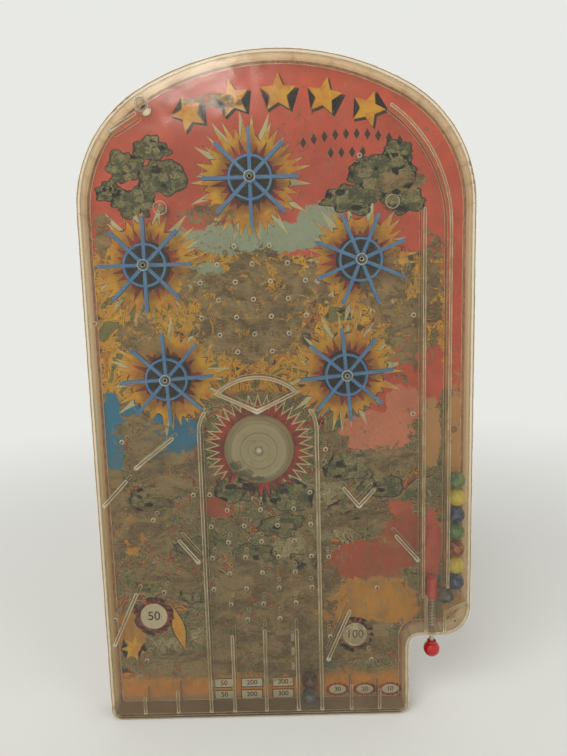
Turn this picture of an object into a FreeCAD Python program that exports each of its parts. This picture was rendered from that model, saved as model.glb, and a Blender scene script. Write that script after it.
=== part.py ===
import FreeCAD, Part
import math
import os
from FreeCAD import Vector

# Bagatelle board game, standing upright, in millimetres.
# X runs to the right seen from the front, Z runs up, and the clear front faces -Y.
# The origin is the middle of the box's bottom face.

# Outline, seen from the front
board_w = 330.0
board_h = 582.0
crown_r = 222.0
shoulder_r = 110.0
foot_r = 9.5
step_x = 109.6
step_z = 76.5
step_r = 9.5
pocket_r = 26.0

# Layers, from the front to the back
front_t = 2.0
cavity = 17.0
print_t = 0.3
board_t = 2.5
pan_depth = 8.2
pan_floor = 2.0

# Cover, board and pan edges
wall_t = 3.0
lane_floor_z = 5.4
edge_r = 2.6
foot_stretches = 2
arch_stretches = 7
board_gap = 0.3
print_inset = 6.0
pan_wall = 5.0
pan_rib_t = 2.0
pan_rib_x = (-135.0, -60.0, 24.0, 110.0)
pan_rib_z = (110.0, 225.0, 365.0, 500.0)

# Ribs and pins moulded on the cover
rib_t = 2.4
pin_d = 4.5
pin_core_d = 2.0
pin_core_end = 3.0
field_shift = 1.15
pin_pitch = 14.7
divider_pitch = 29.4
upper_top_z = 427.7
lower_top_z = 214.2

# Marbles
marble_d = 15.6
marble_gap = 0.3
lane_play = 0.4
stored_marbles = 7
scored_marbles = 2

# Shooter lane and plunger
lane_wall_t = 2.0
shooter_w = 19.9
shooter_foot_z = 114.0
shooter_top_z = 454.0
feed_z = 123.2
feed_curve_r = 119.0
feed_curve_z = 440.0
feed_end_deg = 54.0
housing_w = 14.8
ramp_foot_z = 99.8
ramp_rise = 0.45
plunger_shift = 1.2
head_wall = 0.6
head_h = 19.7
head_top_z = 129.0
head_roof = 4.0
head_edge_r = 2.0
spring_wire = 0.8
spring_d = 7.8
spring_turns = 14
spring_end_bend = 1.2
spring_play = 0.3
spring_near = 4.4
seat_gap = 0.05
rod_d = 4.0
rod_fit = 0.06
bond_gap = 0.04
rod_in_head = 3.0
rod_in_knob = 9.0
knob_d = 14.6
knob_z = 58.7
knob_neck_d = 8.4
knob_neck_h = 1.0
knob_neck_edge_r = 0.8
collar_d = 8.6
collar_t = 1.4
collar_gap = 0.3
pull_travel = 29.5

# Spinners
top_spinner_z = 484.0
upper_pair_z = 414.5
upper_pair_half = 91.5
lower_pair_z = 316.4
lower_pair_half = 78.2
hub_d = 10.4
post_d = 6.0
post_core_d = 3.2
post_fit = 0.06
post_shoulder_d = 9.0
post_shoulder_h = 3.7
hub_end_gap = 0.3
spoke_count = 8
spoke_w = 2.9
spoke_h = 5.0
spoke_r = 40.5
spoke_front = 5.0
ring_d = 37.0
ring_w = 1.9

# Bell
bell_d = 62.5
bell_z = 250.8
bell_t = 0.9
bell_front = 6.0
bell_depth = 9.5
bell_face_d = 47.0
rivet_d = 4.0
rivet_head_d = 9.5
rivet_head_h = 2.6
rivet_tail_d = 7.0
rivet_tail_h = 1.4
rivet_room = 1.0
spacer_d = 8.0

# Fasteners and the hanging hole
boss_inset = 69.0
boss_rise = 2.9
boss_d = 11.0
screw_d = 4.2
screw_fit = 0.05
screw_grip = 12.0
screw_end = 1.0
screw_head_d = 8.4
screw_head_h = 2.6
screw_slot_w = 1.0
screw_slot_h = 1.0
screw_hole_d = 4.8
column_d = 14.0
sink_d = 9.4
sink_h = 5.0
hang_inset = 10.53
hang_deg = 121.5
hang_d = 9.0
hang_boss_d = 11.6
peg_shift = 0.8
peg_z = 263.3
peg_d = 4.4
peg_hole_d = 5.0
peg_head_d = 6.2
peg_head_h = 0.35
peg_column_d = 9.0

# Levels along Y
total_depth = front_t + cavity + print_t + board_t + pan_depth
y_front = -total_depth / 2
y_in = y_front + front_t
y_print = y_in + cavity
y_board = y_print + print_t
y_seam = y_board + board_t
y_back = y_seam + pan_depth
y_mid = (y_in + y_print) / 2

# Places in the X-Z plane that follow from the sizes above
marble_r = marble_d / 2
marble_step = marble_d + marble_gap
inner_x = board_w / 2 - wall_t
feed_outer_x = inner_x - marble_d - 2 * lane_play
feed_x = feed_outer_x - lane_wall_t / 2
shooter_right = feed_outer_x - lane_wall_t
shooter_left = shooter_right - shooter_w
lane_x = (shooter_left + shooter_right) / 2
plunger_x = lane_x - plunger_shift
head_d = spring_d + 2 * (spring_play + head_wall)
field_left = -inner_x
field_right = shooter_left - lane_wall_t
field_x = (field_left + field_right) / 2 - field_shift
shoulder_x = board_w / 2 - shoulder_r
crown_z = board_h - crown_r
shoulder_z = crown_z + math.sqrt((crown_r - shoulder_r) ** 2 - shoulder_x ** 2)
shoulder_deg = math.degrees(math.atan2(shoulder_z - crown_z, shoulder_x))
stored_x = inner_x - lane_play - marble_r
peg_x = stored_x - peg_shift
boss_x = board_w / 2 - boss_inset
boss_z = shoulder_z + boss_rise
housing_left = lane_x - housing_w / 2 - lane_wall_t / 2
housing_right = lane_x + housing_w / 2 + lane_wall_t / 2
hang_x = -shoulder_x + (shoulder_r - hang_inset) * math.cos(math.radians(hang_deg))
hang_z = shoulder_z + (shoulder_r - hang_inset) * math.sin(math.radians(hang_deg))

# Spinner centres: one at the top, an upper pair and a lower pair
spinner_places = (
    ("spinner_top", field_x, top_spinner_z, 0.0),
    ("spinner_upper_left", field_x - upper_pair_half, upper_pair_z, 0.0),
    ("spinner_upper_right", field_x + upper_pair_half, upper_pair_z, 22.5),
    ("spinner_lower_left", field_x - lower_pair_half, lower_pair_z, 3.0),
    ("spinner_lower_right", field_x + lower_pair_half, lower_pair_z, 5.0),
)

# Rows of the two pin fields, from the top down, in steps of the pitch from the field's middle
upper_rows = ((-1, 1), (-2, 0, 2), (-3, -1, 1, 3), (-2, 0, 2), (-3, -1, 1, 3), (-2, 0, 2), (-1, 1))
lower_rows = (
    (-3, 3), (-2, 0, 2), (-3, -1, 1, 3), (-2, 0, 2), (-3, -1, 1, 3),
    (-2, 0, 2), (-3, -1, 1, 3), (-2, 0, 2), (-1, 1),
)

# Pins that stand alone, as x and z: from the left wall, the field's middle, the shooter lane and the right wall
left_pins = ((5.8, 366.7), (22.2, 263.5), (45.6, 192.3), (51.6, 124.5), (6.2, 99.0), (32.3, 58.5))
middle_pins = ((-58.5, 214.3), (58.4, 252.5), (59.5, 154.3), (59.7, 78.1), (90.3, 497.6))
right_pins = ((-8.4, 366.9), (-8.7, 281.9), (-40.6, 124.0), (-46.2, 54.9))
pocket_pins = ((-11.2, 91.0),)

# Slanted deflector bars, each from one end to the other, as x and z
bars = (
    ((-133.1, 522.9), (-112.5, 534.9)),
    ((-138.5, 227.7), (-159.0, 206.2)),
    ((-128.7, 240.0), (-95.9, 265.1)),
    ((-94.2, 172.2), (-78.2, 152.1)),
    ((-135.8, 122.3), (-157.9, 74.5)),
    ((52.9, 216.4), (65.7, 200.2)),
    ((65.7, 200.2), (78.8, 214.5)),
    ((98.7, 171.5), (117.7, 149.1)),
    ((56.3, 101.6), (36.5, 55.8)),
)

# Lane dividers that stand on the bottom wall, as x and top z
dividers = (
    (-133.7, 20.8), (-103.2, 26.6), (57.0, 28.6), (82.8, 23.9),
    (field_x - divider_pitch, 79.6), (field_x, 84.7), (field_x + divider_pitch, 84.7),
)

# Side walls of the middle lanes
middle_half = 51.2
middle_top_z = 270.0
middle_curl_r = 30.0
middle_curl_deg = 35.0

# Eye-shaped deflector above the bell
eye_half = 34.1
eye_tip_z = 303.5
eye_top_z = 317.0
eye_foot_z = 287.1


def at(x, z, y=0.0):
    """A point from its place in the front view and its depth."""
    return Vector(x, y, z)


def polar(x, z, r, degrees):
    """The point at a radius and an angle from a centre in the front view."""
    a = math.radians(degrees)
    return (x + r * math.cos(a), z + r * math.sin(a))


def arc(x, z, r, start, end):
    """A circular edge in the front view, from one angle to another."""
    points = [at(*polar(x, z, r, d)) for d in (start, (start + end) / 2, end)]
    return Part.Arc(*points).toShape()


def line(a, b):
    return Part.makeLine(at(*a), at(*b))


def outline(inset):
    """The closed outline of the board, moved inwards by a distance, as a face."""
    side = board_w / 2 - inset
    foot = foot_r - inset if inset < foot_r else 0.5
    pocket = pocket_r - inset
    inner = step_r + inset
    left_foot = (-board_w / 2 + inset + foot, inset + foot)
    right_foot = (step_x - inset - foot, inset + foot)
    nook = (step_x - inset + inner, step_z + inset - inner)
    pocket_c = (side - pocket, step_z + inset + pocket)
    tangent = shoulder_deg
    edges = [
        line((-side, shoulder_z), (-side, left_foot[1])),
        arc(*left_foot, foot, 180, 270),
        line((left_foot[0], inset), (right_foot[0], inset)),
        arc(*right_foot, foot, 270, 360),
        line((step_x - inset, right_foot[1]), (step_x - inset, nook[1])),
        arc(*nook, inner, 180, 90),
        line((nook[0], step_z + inset), (pocket_c[0], step_z + inset)),
        arc(*pocket_c, pocket, 270, 360),
        line((side, pocket_c[1]), (side, shoulder_z)),
        arc(shoulder_x, shoulder_z, shoulder_r - inset, 0, tangent),
        arc(0, crown_z, crown_r - inset, tangent, 180 - tangent),
        arc(-shoulder_x, shoulder_z, shoulder_r - inset, 180 - tangent, 180),
    ]
    return Part.Face(Part.Wire(edges))


def prism(face, y0, y1):
    """A front-view face made solid between two depths."""
    placed = face.copy()
    placed.translate(Vector(0, y0, 0))
    return placed.extrude(Vector(0, y1 - y0, 0))


def rod_along_y(x, z, d, y0, y1):
    return Part.makeCylinder(d / 2, y1 - y0, at(x, z, y0), Vector(0, 1, 0))


def rod_along_z(x, y, d, z0, z1):
    return Part.makeCylinder(d / 2, z1 - z0, Vector(x, y, z0))


def bar_face(a, b, t):
    """A straight bar with round ends, in the front view."""
    angle = math.degrees(math.atan2(b[1] - a[1], b[0] - a[0]))
    left = angle + 90
    right = angle - 90
    edges = [
        line(polar(*a, t / 2, right), polar(*b, t / 2, right)),
        arc(*b, t / 2, right, left),
        line(polar(*b, t / 2, left), polar(*a, t / 2, left)),
        arc(*a, t / 2, left, left + 180),
    ]
    return Part.Face(Part.Wire(edges))


def curve_face(x, z, r, start, end, t):
    """A curved bar of one radius with round ends, in the front view."""
    edges = [
        arc(x, z, r + t / 2, start, end),
        arc(*polar(x, z, r, end), t / 2, end, end + 180),
        arc(x, z, r - t / 2, end, start),
        arc(*polar(x, z, r, start), t / 2, start + 180, start + 360),
    ]
    return Part.Face(Part.Wire(edges))


def revolve(points, axis_point, axis):
    """A solid turned about an axis from a closed profile of lines."""
    profile = Part.Face(Part.makePolygon(points + [points[0]]))
    return profile.revolve(axis_point, axis, 360)


def fuse(shapes):
    return shapes[0].multiFuse(shapes[1:]).removeSplitter()


def pin_places():
    places = []
    for x0, pins in (
        (field_left, left_pins), (field_x, middle_pins), (field_right, right_pins), (inner_x, pocket_pins),
    ):
        places += [(x0 + x, z) for x, z in pins]
    for top, rows in ((upper_top_z, upper_rows), (lower_top_z, lower_rows)):
        for row, steps in enumerate(rows):
            for step in steps:
                places.append((field_x + step * pin_pitch, top - row * pin_pitch))
    return places


def bar_faces():
    return [bar_face(a, b, rib_t) for a, b in bars]


def divider_faces():
    return [bar_face((x, lane_floor_z - rib_t), (x, top), rib_t) for x, top in dividers]


def middle_wall_faces():
    faces = []
    for side in (-1, 1):
        x = field_x + side * middle_half
        faces.append(bar_face((x, lane_floor_z - rib_t), (x, middle_top_z), rib_t))
        centre = x - side * middle_curl_r
        start = 180 if side < 0 else 0
        end = start + side * middle_curl_deg
        faces.append(curve_face(centre, middle_top_z, middle_curl_r, min(start, end), max(start, end), rib_t))
    return faces


def eye_faces():
    """An arch over two straight sides."""
    sag = eye_top_z - eye_tip_z
    eye_r = (eye_half ** 2 + sag ** 2) / (2 * sag)
    spread = math.degrees(math.asin(eye_half / eye_r))
    faces = [curve_face(field_x, eye_top_z - eye_r, eye_r, 90 - spread, 90 + spread, rib_t)]
    for side in (-1, 1):
        faces.append(bar_face((field_x + side * eye_half, eye_tip_z), (field_x, eye_foot_z), rib_t))
    return faces


def shooter_wall_faces():
    """The shooter lane's inner wall, with the left wall of the plunger's housing under it."""
    wall_x = shooter_left - lane_wall_t / 2
    return [
        bar_face((wall_x, shooter_foot_z), (wall_x, shooter_top_z), lane_wall_t),
        bar_face((wall_x, shooter_foot_z), (housing_left, shooter_foot_z), lane_wall_t),
        bar_face((housing_left, step_z), (housing_left, shooter_foot_z), lane_wall_t),
    ]


def feed_wall_faces():
    """The wall between the shooter lane and the marble store, which bends over to the left at its top."""
    curve_x = feed_x - feed_curve_r
    return [
        bar_face((feed_x, feed_z), (feed_x, feed_curve_z), lane_wall_t),
        curve_face(curve_x, feed_curve_z, feed_curve_r, 0, feed_end_deg, lane_wall_t),
    ]


def ramp_faces():
    """The right wall of the plunger's housing and the outlet ramp, up to the side wall."""
    drop = ramp_drop()
    end_x = inner_x + wall_t / 2
    left = (housing_right, ramp_foot_z - drop)
    right = (end_x, ramp_foot_z - drop + ramp_rise * (end_x - housing_right))
    return [
        bar_face((housing_right, step_z), left, lane_wall_t),
        bar_face(left, right, lane_wall_t),
    ]


def ramp_drop():
    """How far the ramp's middle line lies under its top face, measured upright."""
    return lane_wall_t / 2 * math.sqrt(1 + ramp_rise ** 2)


def arc_stretches(x, z, outer_r, inner_r, start, end, count):
    """A curved wall between two radii, as short faces end to end."""
    faces = []
    for i in range(count):
        a = start + (end - start) * i / count
        b = start + (end - start) * (i + 1) / count
        edges = [
            arc(x, z, outer_r, a, b),
            line(polar(x, z, outer_r, b), polar(x, z, inner_r, b)),
            arc(x, z, inner_r, b, a),
            line(polar(x, z, inner_r, a), polar(x, z, outer_r, a)),
        ]
        faces.append(Part.Face(Part.Wire(edges)))
    return faces


def rectangle(x0, z0, x1, z1):
    corners = [at(x0, z0), at(x1, z0), at(x1, z1), at(x0, z1), at(x0, z0)]
    return Part.Face(Part.makePolygon(corners))


def side_wall_faces():
    """The side wall in the front view: straight runs and short curved stretches, end to end."""
    side = board_w / 2
    faces = [
        rectangle(-side, foot_r, wall_t - side, shoulder_z),
        rectangle(foot_r - side, 0, step_x - foot_r, wall_t),
        rectangle(step_x - wall_t, foot_r, step_x, step_z - step_r),
        rectangle(step_x + step_r, step_z, side - pocket_r, step_z + wall_t),
        rectangle(side - wall_t, step_z + pocket_r, side, shoulder_z),
    ]
    faces += arc_stretches(foot_r - side, foot_r, foot_r, foot_r - wall_t, 180, 270, foot_stretches)
    faces += arc_stretches(step_x - foot_r, foot_r, foot_r, foot_r - wall_t, 270, 360, foot_stretches)
    nook = (step_x + step_r, step_z - step_r)
    faces += arc_stretches(*nook, step_r, step_r + wall_t, 90, 180, foot_stretches)
    pocket = (side - pocket_r, step_z + pocket_r)
    faces += arc_stretches(*pocket, pocket_r, pocket_r - wall_t, 270, 360, foot_stretches)
    shoulder = (shoulder_r, shoulder_r - wall_t)
    crown = (crown_r, crown_r - wall_t)
    top = 180 - shoulder_deg
    faces += arc_stretches(shoulder_x, shoulder_z, *shoulder, 0, shoulder_deg, arch_stretches)
    faces += arc_stretches(0, crown_z, *crown, shoulder_deg, top, arch_stretches)
    faces += arc_stretches(-shoulder_x, shoulder_z, *shoulder, top, 180, arch_stretches)
    return faces


def make_lane_floor():
    width = board_w / 2 + step_x - 2 * wall_t
    return Part.makeBox(width, cavity, lane_floor_z - wall_t, Vector(-inner_x, y_in, wall_t))


def front_cores():
    """The bores of the pins and posts, which are open at the front of the cover."""
    end = y_print - pin_core_end
    cores = [rod_along_y(x, z, pin_core_d, y_front, end) for x, z in pin_places()]
    cores += [rod_along_y(x, z, post_core_d, y_front, end) for _, x, z, _ in spinner_places]
    cores.append(rod_along_y(hang_x, hang_z, hang_d, y_front, y_print))
    return Part.makeCompound(cores)


def cover_block():
    """The whole room of the cover, with its rounded front edge."""
    outer = prism(outline(0), y_front, y_seam)
    rim = [e for e in outer.Edges if abs(e.BoundBox.YMax - y_front) < 1e-6]
    return outer.makeFillet(edge_r, rim)


def make_cover():
    """The front sheet."""
    return cover_block().common(prism(outline(0), y_front, y_in)).cut(front_cores())


def make_side_wall():
    """The side wall's stretches and the floor under the lanes."""
    block = cover_block()
    rod_hole = rod_along_z(plunger_x, y_mid, rod_d + 2 * rod_fit, step_z, step_z + wall_t)
    stretches = [prism(face, y_in, y_seam).common(block).cut(rod_hole) for face in side_wall_faces()]
    return Part.makeCompound([s.Solids[0] for s in stretches] + [make_lane_floor()])


def make_ribs(faces):
    """Ribs that stand on the front sheet and reach back to the print."""
    room = prism(outline(wall_t), y_in, y_print).cut(make_lane_floor())
    return fuse([prism(f, y_in, y_print) for f in faces]).common(room)


def make_shooter_wall():
    """The shooter lane's wall, the step at its foot and the housing's wall, as straight stretches end to end."""
    wall = make_ribs(shooter_wall_faces())
    levels = (0, shooter_foot_z - lane_wall_t / 2, shooter_foot_z + lane_wall_t / 2, board_h)
    stretches = []
    for low, high in zip(levels, levels[1:]):
        layer = Part.makeBox(board_w, cavity, high - low, Vector(-board_w / 2, y_in, low))
        stretches.append(wall.common(layer).Solids[0])
    return Part.makeCompound(stretches)


def make_pins():
    pins = [rod_along_y(x, z, pin_d, y_in, y_print) for x, z in pin_places()]
    return Part.makeCompound(pins).cut(front_cores())


def make_posts():
    """The hollow posts that carry the spinners, each with a shoulder at its foot."""
    posts = []
    for _, x, z, _ in spinner_places:
        shoulder = rod_along_y(x, z, post_shoulder_d, y_in, y_in + post_shoulder_h)
        posts.append(fuse([shoulder, rod_along_y(x, z, post_d, y_in, y_seam)]))
    return Part.makeCompound(posts).cut(front_cores())


def make_bosses():
    """Two bosses that the screws grip, and the boss round the hanging hole."""
    bosses = [rod_along_y(hang_x, hang_z, hang_boss_d, y_in, y_print)]
    bores = []
    for side in (-1, 1):
        bosses.append(rod_along_y(side * boss_x, boss_z, boss_d, y_in, y_print))
        bore = screw_d + 2 * screw_fit
        bores.append(rod_along_y(side * boss_x, boss_z, bore, y_print - screw_grip - screw_end, y_print))
    return Part.makeCompound(bosses).cut(Part.makeCompound(bores)).cut(front_cores())


def layer_holes(y0, y1):
    """The holes that the print and the board share."""
    holes = [rod_along_y(x, z, post_d + 2 * seat_gap, y0, y1) for _, x, z, _ in spinner_places]
    holes += [rod_along_y(side * boss_x, boss_z, screw_hole_d, y0, y1) for side in (-1, 1)]
    holes.append(rod_along_y(field_x, bell_z, rivet_d + 2 * seat_gap, y0, y1))
    holes.append(rod_along_y(hang_x, hang_z, hang_d, y0, y1))
    holes.append(rod_along_y(peg_x, peg_z, peg_hole_d, y0, y1))
    return Part.makeCompound(holes)


def make_print():
    return prism(outline(print_inset), y_print, y_board).cut(layer_holes(y_print, y_board))


def make_board():
    return prism(outline(wall_t + board_gap), y_board, y_seam).cut(layer_holes(y_board, y_seam))


def make_pan():
    floor = y_back - pan_floor
    hollow = prism(outline(pan_wall), y_seam, floor)
    pan = prism(outline(0), y_seam, y_back).cut(hollow)
    inside = [
        Part.makeBox(pan_rib_t, floor - y_seam, board_h, Vector(x - pan_rib_t / 2, y_seam, 0))
        for x in pan_rib_x
    ]
    inside += [
        Part.makeBox(board_w, floor - y_seam, pan_rib_t, Vector(-board_w / 2, y_seam, z - pan_rib_t / 2))
        for z in pan_rib_z
    ]
    for side in (-1, 1):
        inside.append(rod_along_y(side * boss_x, boss_z, column_d, y_seam, floor))
    inside.append(rod_along_y(hang_x, hang_z, column_d, y_seam, floor))
    inside.append(rod_along_y(peg_x, peg_z, peg_column_d, y_seam, floor))
    ribs = fuse(inside).common(hollow)
    bell_room = rod_along_y(field_x, bell_z, rivet_tail_d + 2 * rivet_room, y_seam, floor)
    pan = fuse([pan, ribs.cut(bell_room)])
    holes = []
    for side in (-1, 1):
        holes.append(rod_along_y(side * boss_x, boss_z, sink_d, y_back - sink_h, y_back))
        holes.append(rod_along_y(side * boss_x, boss_z, screw_hole_d, y_seam, y_back))
    holes.append(rod_along_y(hang_x, hang_z, hang_d, y_seam, y_back))
    pan = pan.cut(Part.makeCompound(holes))
    peg = rod_along_y(peg_x, peg_z, peg_d, y_board - print_t, y_seam)
    peg_head = rod_along_y(peg_x, peg_z, peg_head_d, y_print - peg_head_h, y_print)
    return fuse([pan, peg, peg_head])


def make_spinner(x, z, turn):
    y0 = y_in + post_shoulder_h + hub_end_gap
    y1 = y_print - hub_end_gap
    fin0 = y_in + spoke_front
    fin1 = fin0 + spoke_h
    hub = rod_along_y(x, z, hub_d, y0, y1)
    ring = rod_along_y(x, z, ring_d, fin0, fin1).cut(rod_along_y(x, z, ring_d - 2 * ring_w, fin0, fin1))
    spokes = []
    for i in range(spoke_count):
        tip = polar(x, z, spoke_r - spoke_w / 2, turn + i * 360 / spoke_count)
        spokes.append(prism(bar_face((x, z), tip, spoke_w), fin0, fin1))
    wheel = fuse([hub, ring] + spokes)
    return wheel.cut(rod_along_y(x, z, post_d + 2 * post_fit, y0, y1))


def make_bell():
    """A pressed gong: a flat face, a rounded shoulder and an upright rim."""
    y0 = y_in + bell_front
    r = bell_d / 2
    face = bell_face_d / 2
    bend = r - face
    hole = rivet_d / 2 + seat_gap

    def skin(offset):
        """The points of one side of the sheet, from its middle to its rim."""
        corner = bend - offset
        points = [(hole, y0 + offset)]
        for i in range(9):
            a = math.radians(90 * i / 8)
            points.append((face + corner * math.sin(a), y0 + bend - corner * math.cos(a)))
        points.append((face + corner, y0 + bell_depth))
        return points

    outer = skin(0)
    profile = [at(field_x + r_, bell_z, y_) for r_, y_ in outer + skin(bell_t)[::-1]]
    return revolve(profile, at(field_x, bell_z), Vector(0, 1, 0))


def make_spacer():
    y0 = y_in + bell_front + bell_t
    tube = rod_along_y(field_x, bell_z, spacer_d, y0, y_print)
    return tube.cut(rod_along_y(field_x, bell_z, rivet_d + 2 * seat_gap, y0, y_print))


def make_rivet():
    y0 = y_in + bell_front
    shank = rod_along_y(field_x, bell_z, rivet_d, y0, y_seam)
    dome_r = ((rivet_head_d / 2) ** 2 + rivet_head_h ** 2) / (2 * rivet_head_h)
    dome = Part.makeSphere(dome_r, at(field_x, bell_z, y0 - rivet_head_h + dome_r))
    head = dome.common(rod_along_y(field_x, bell_z, rivet_head_d, y0 - rivet_head_h, y0))
    tail = rod_along_y(field_x, bell_z, rivet_tail_d, y_seam, y_seam + rivet_tail_h)
    return fuse([shank, head, tail])


def make_screws():
    screws = []
    head_y = y_back - sink_h
    for side in (-1, 1):
        x = side * boss_x
        shank = rod_along_y(x, boss_z, screw_d, y_print - screw_grip, head_y)
        head = rod_along_y(x, boss_z, screw_head_d, head_y, head_y + screw_head_h)
        slot = Part.makeBox(
            screw_head_d, screw_slot_h, screw_slot_w,
            Vector(x - screw_head_d / 2, head_y + screw_head_h - screw_slot_h, boss_z - screw_slot_w / 2),
        )
        screws.append(fuse([shank, head]).cut(slot))
    return Part.makeCompound(screws)


def make_head():
    """The plunger's head: a cup that holds the top of the spring."""
    foot = head_top_z - head_h
    roof = head_top_z - head_roof
    body = rod_along_z(plunger_x, y_mid, head_d, foot, head_top_z)
    top = [e for e in body.Edges if abs(e.BoundBox.ZMin - head_top_z) < 1e-6]
    body = body.makeFillet(head_edge_r, top)
    bore = rod_along_z(plunger_x, y_mid, spring_d + 2 * spring_play, foot, roof)
    socket = rod_along_z(plunger_x, y_mid, rod_d + 2 * bond_gap, roof, roof + rod_in_head)
    return body.cut(bore.fuse(socket))


def make_rod():
    top = head_top_z - head_roof + rod_in_head
    return rod_along_z(plunger_x, y_mid, rod_d, rod_foot_z(), top)


def rod_foot_z():
    return knob_z + knob_d / 2 - rod_in_knob


def make_knob():
    ball = Part.makeSphere(knob_d / 2, Vector(plunger_x, y_mid, knob_z))
    top = knob_z + knob_d / 2 + knob_neck_h
    neck = rod_along_z(plunger_x, y_mid, knob_neck_d, knob_z, top)
    rim = [e for e in neck.Edges if abs(e.BoundBox.ZMin - top) < 1e-6]
    neck = neck.makeFillet(knob_neck_edge_r, rim)
    return fuse([ball, neck]).cut(rod_along_z(plunger_x, y_mid, rod_d + 2 * bond_gap, rod_foot_z(), top))


def make_collar():
    top = step_z - collar_gap
    ring = rod_along_z(plunger_x, y_mid, collar_d, top - collar_t, top)
    return ring.cut(rod_along_z(plunger_x, y_mid, rod_d + 2 * bond_gap, top - collar_t, top))


def arc_from(start, tangent, end):
    """The circular edge that leaves a point along a direction and ends at another point."""
    chord = end - start
    normal = chord - tangent * chord.dot(tangent)
    normal.normalize()
    r = chord.dot(chord) / (2 * chord.dot(normal))
    centre = start + normal * r
    middle = (start + end) * 0.5 - centre
    middle.normalize()
    return Part.Arc(start, centre + middle * r, end).toShape()


def biarc(p0, t0, p1, t1):
    """Two circular edges that join two points with a direction at each."""
    v = p1 - p0
    t = t0 + t1
    k = 2 * (1 - t0.dot(t1))
    d = (-v.dot(t) + math.sqrt(v.dot(t) ** 2 + k * v.dot(v))) / k
    joint = (p0 + t0 * d + p1 - t1 * d) * 0.5
    along = (p1 - t1 * d) - (p0 + t0 * d)
    along.normalize()
    return [arc_from(p0, t0, joint), arc_from(joint, along, p1)]


def make_spring():
    """One wire: a straight foot, a quarter bend, the turns, a quarter bend and a straight end."""
    r = (spring_d - spring_wire) / 2
    z0 = step_z + wall_t + seat_gap
    z1 = head_top_z - head_roof - seat_gap
    bend = spring_end_bend
    low = z0 + spring_wire + bend
    high = z1 - spring_wire - bend
    climb = (high - low) / spring_turns

    def helix(turn):
        a = 2 * math.pi * turn
        p = Vector(plunger_x + r * math.cos(a), y_mid + r * math.sin(a), low + climb * turn)
        d = Vector(-math.sin(a) * 2 * math.pi * r, math.cos(a) * 2 * math.pi * r, climb)
        d.normalize()
        return p, d

    up = Vector(0, 0, 1)
    first, first_way = helix(0)
    last, last_way = helix(spring_turns)
    foot = first - first_way * bend
    foot.z = z0
    bend_start = Vector(foot.x, foot.y, z0 + spring_wire)
    end = last + last_way * bend
    end.z = z1
    bend_end = Vector(end.x, end.y, z1 - spring_wire)
    edges = [Part.makeLine(foot, bend_start)]
    edges += biarc(bend_start, up, first, first_way)
    for quarter in range(4 * spring_turns):
        p0, t0 = helix(quarter / 4)
        p1, t1 = helix((quarter + 1) / 4)
        edges += biarc(p0, t0, p1, t1)
    edges += biarc(last, last_way, bend_end, up)
    edges.append(Part.makeLine(bend_end, end))
    path = Part.Wire(edges)
    section = Part.Wire(Part.Circle(foot, up, spring_wire / 2).toShape())
    solid = path.makePipeShell([section], True, False)
    points = []
    for e in edges:
        points += e.discretize(Number=9)[:-1]
    report_gap(points, spring_wire)
    return solid


def report_gap(points, wire):
    """Prints the least gap of a wire to itself, measured on the points of its line that aren't near along it."""
    lengths = [0.0]
    for a, b in zip(points, points[1:]):
        lengths.append(lengths[-1] + (b - a).Length)
    least = min(
        (points[i] - points[j]).Length - wire
        for i in range(len(points))
        for j in range(i)
        if lengths[i] - lengths[j] > spring_near
    )
    print("plunger spring: least gap to itself", round(least, 2), "mm, length", round(lengths[-1], 1), "mm")


def marble_places():
    """The name and the place of each marble: outlet, store from the bottom up, and scoring lane."""
    lean = math.sqrt(1 + ramp_rise ** 2)
    x = plunger_x + head_d / 2 + marble_gap + marble_r
    z = ramp_foot_z + ramp_rise * (x - housing_right) + (marble_r + marble_gap / 2) * lean
    places = [("marble_outlet", x, z)]
    z += math.sqrt(marble_step ** 2 - (stored_x - x) ** 2)
    for i in range(stored_marbles):
        places.append((f"marble_store_{i + 1}", stored_x, z + i * marble_step))
    score_x = field_x + (divider_pitch + middle_half) / 2
    for i in range(scored_marbles):
        z = lane_floor_z + marble_r + marble_gap / 2 + i * marble_step
        places.append((f"marble_lane_{i + 1}", score_x, z))
    return places


def make_parts():
    parts = {
        "clear_cover": make_cover(),
        "cover_side_wall": make_side_wall(),
        "cover_pins": make_pins(),
        "cover_posts": make_posts(),
        "cover_bosses": make_bosses(),
        "cover_bars": make_ribs(bar_faces()),
        "cover_dividers": make_ribs(divider_faces()),
        "cover_middle_walls": make_ribs(middle_wall_faces()),
        "cover_eye": make_ribs(eye_faces()),
        "cover_shooter_wall": make_shooter_wall(),
        "cover_feed_wall": make_ribs(feed_wall_faces()),
        "cover_ramp": make_ribs(ramp_faces()),
        "printed_sheet": make_print(),
        "playfield_board": make_board(),
        "base_pan": make_pan(),
        "bell_gong": make_bell(),
        "bell_spacer": make_spacer(),
        "bell_rivet": make_rivet(),
        "cover_screws": make_screws(),
        "plunger_head": make_head(),
        "plunger_rod": make_rod(),
        "plunger_knob": make_knob(),
        "plunger_collar": make_collar(),
        "plunger_spring": make_spring(),
    }
    for name, x, z, turn in spinner_places:
        parts[name] = make_spinner(x, z, turn)
    for name, x, z in marble_places():
        parts[name] = Part.makeSphere(marble_r, at(x, z, y_mid))
    return parts


os.makedirs("parts", exist_ok=True)
for name, shape in make_parts().items():
    shape.exportStep(f"parts/{name}.step")
    print(name, len(shape.Solids), "solid", round(shape.Volume, 1), "mm3", "valid" if shape.isValid() else "INVALID")
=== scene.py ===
import math
import random

import bmesh
import bpy
from mathutils import Matrix, Vector, noise


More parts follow.
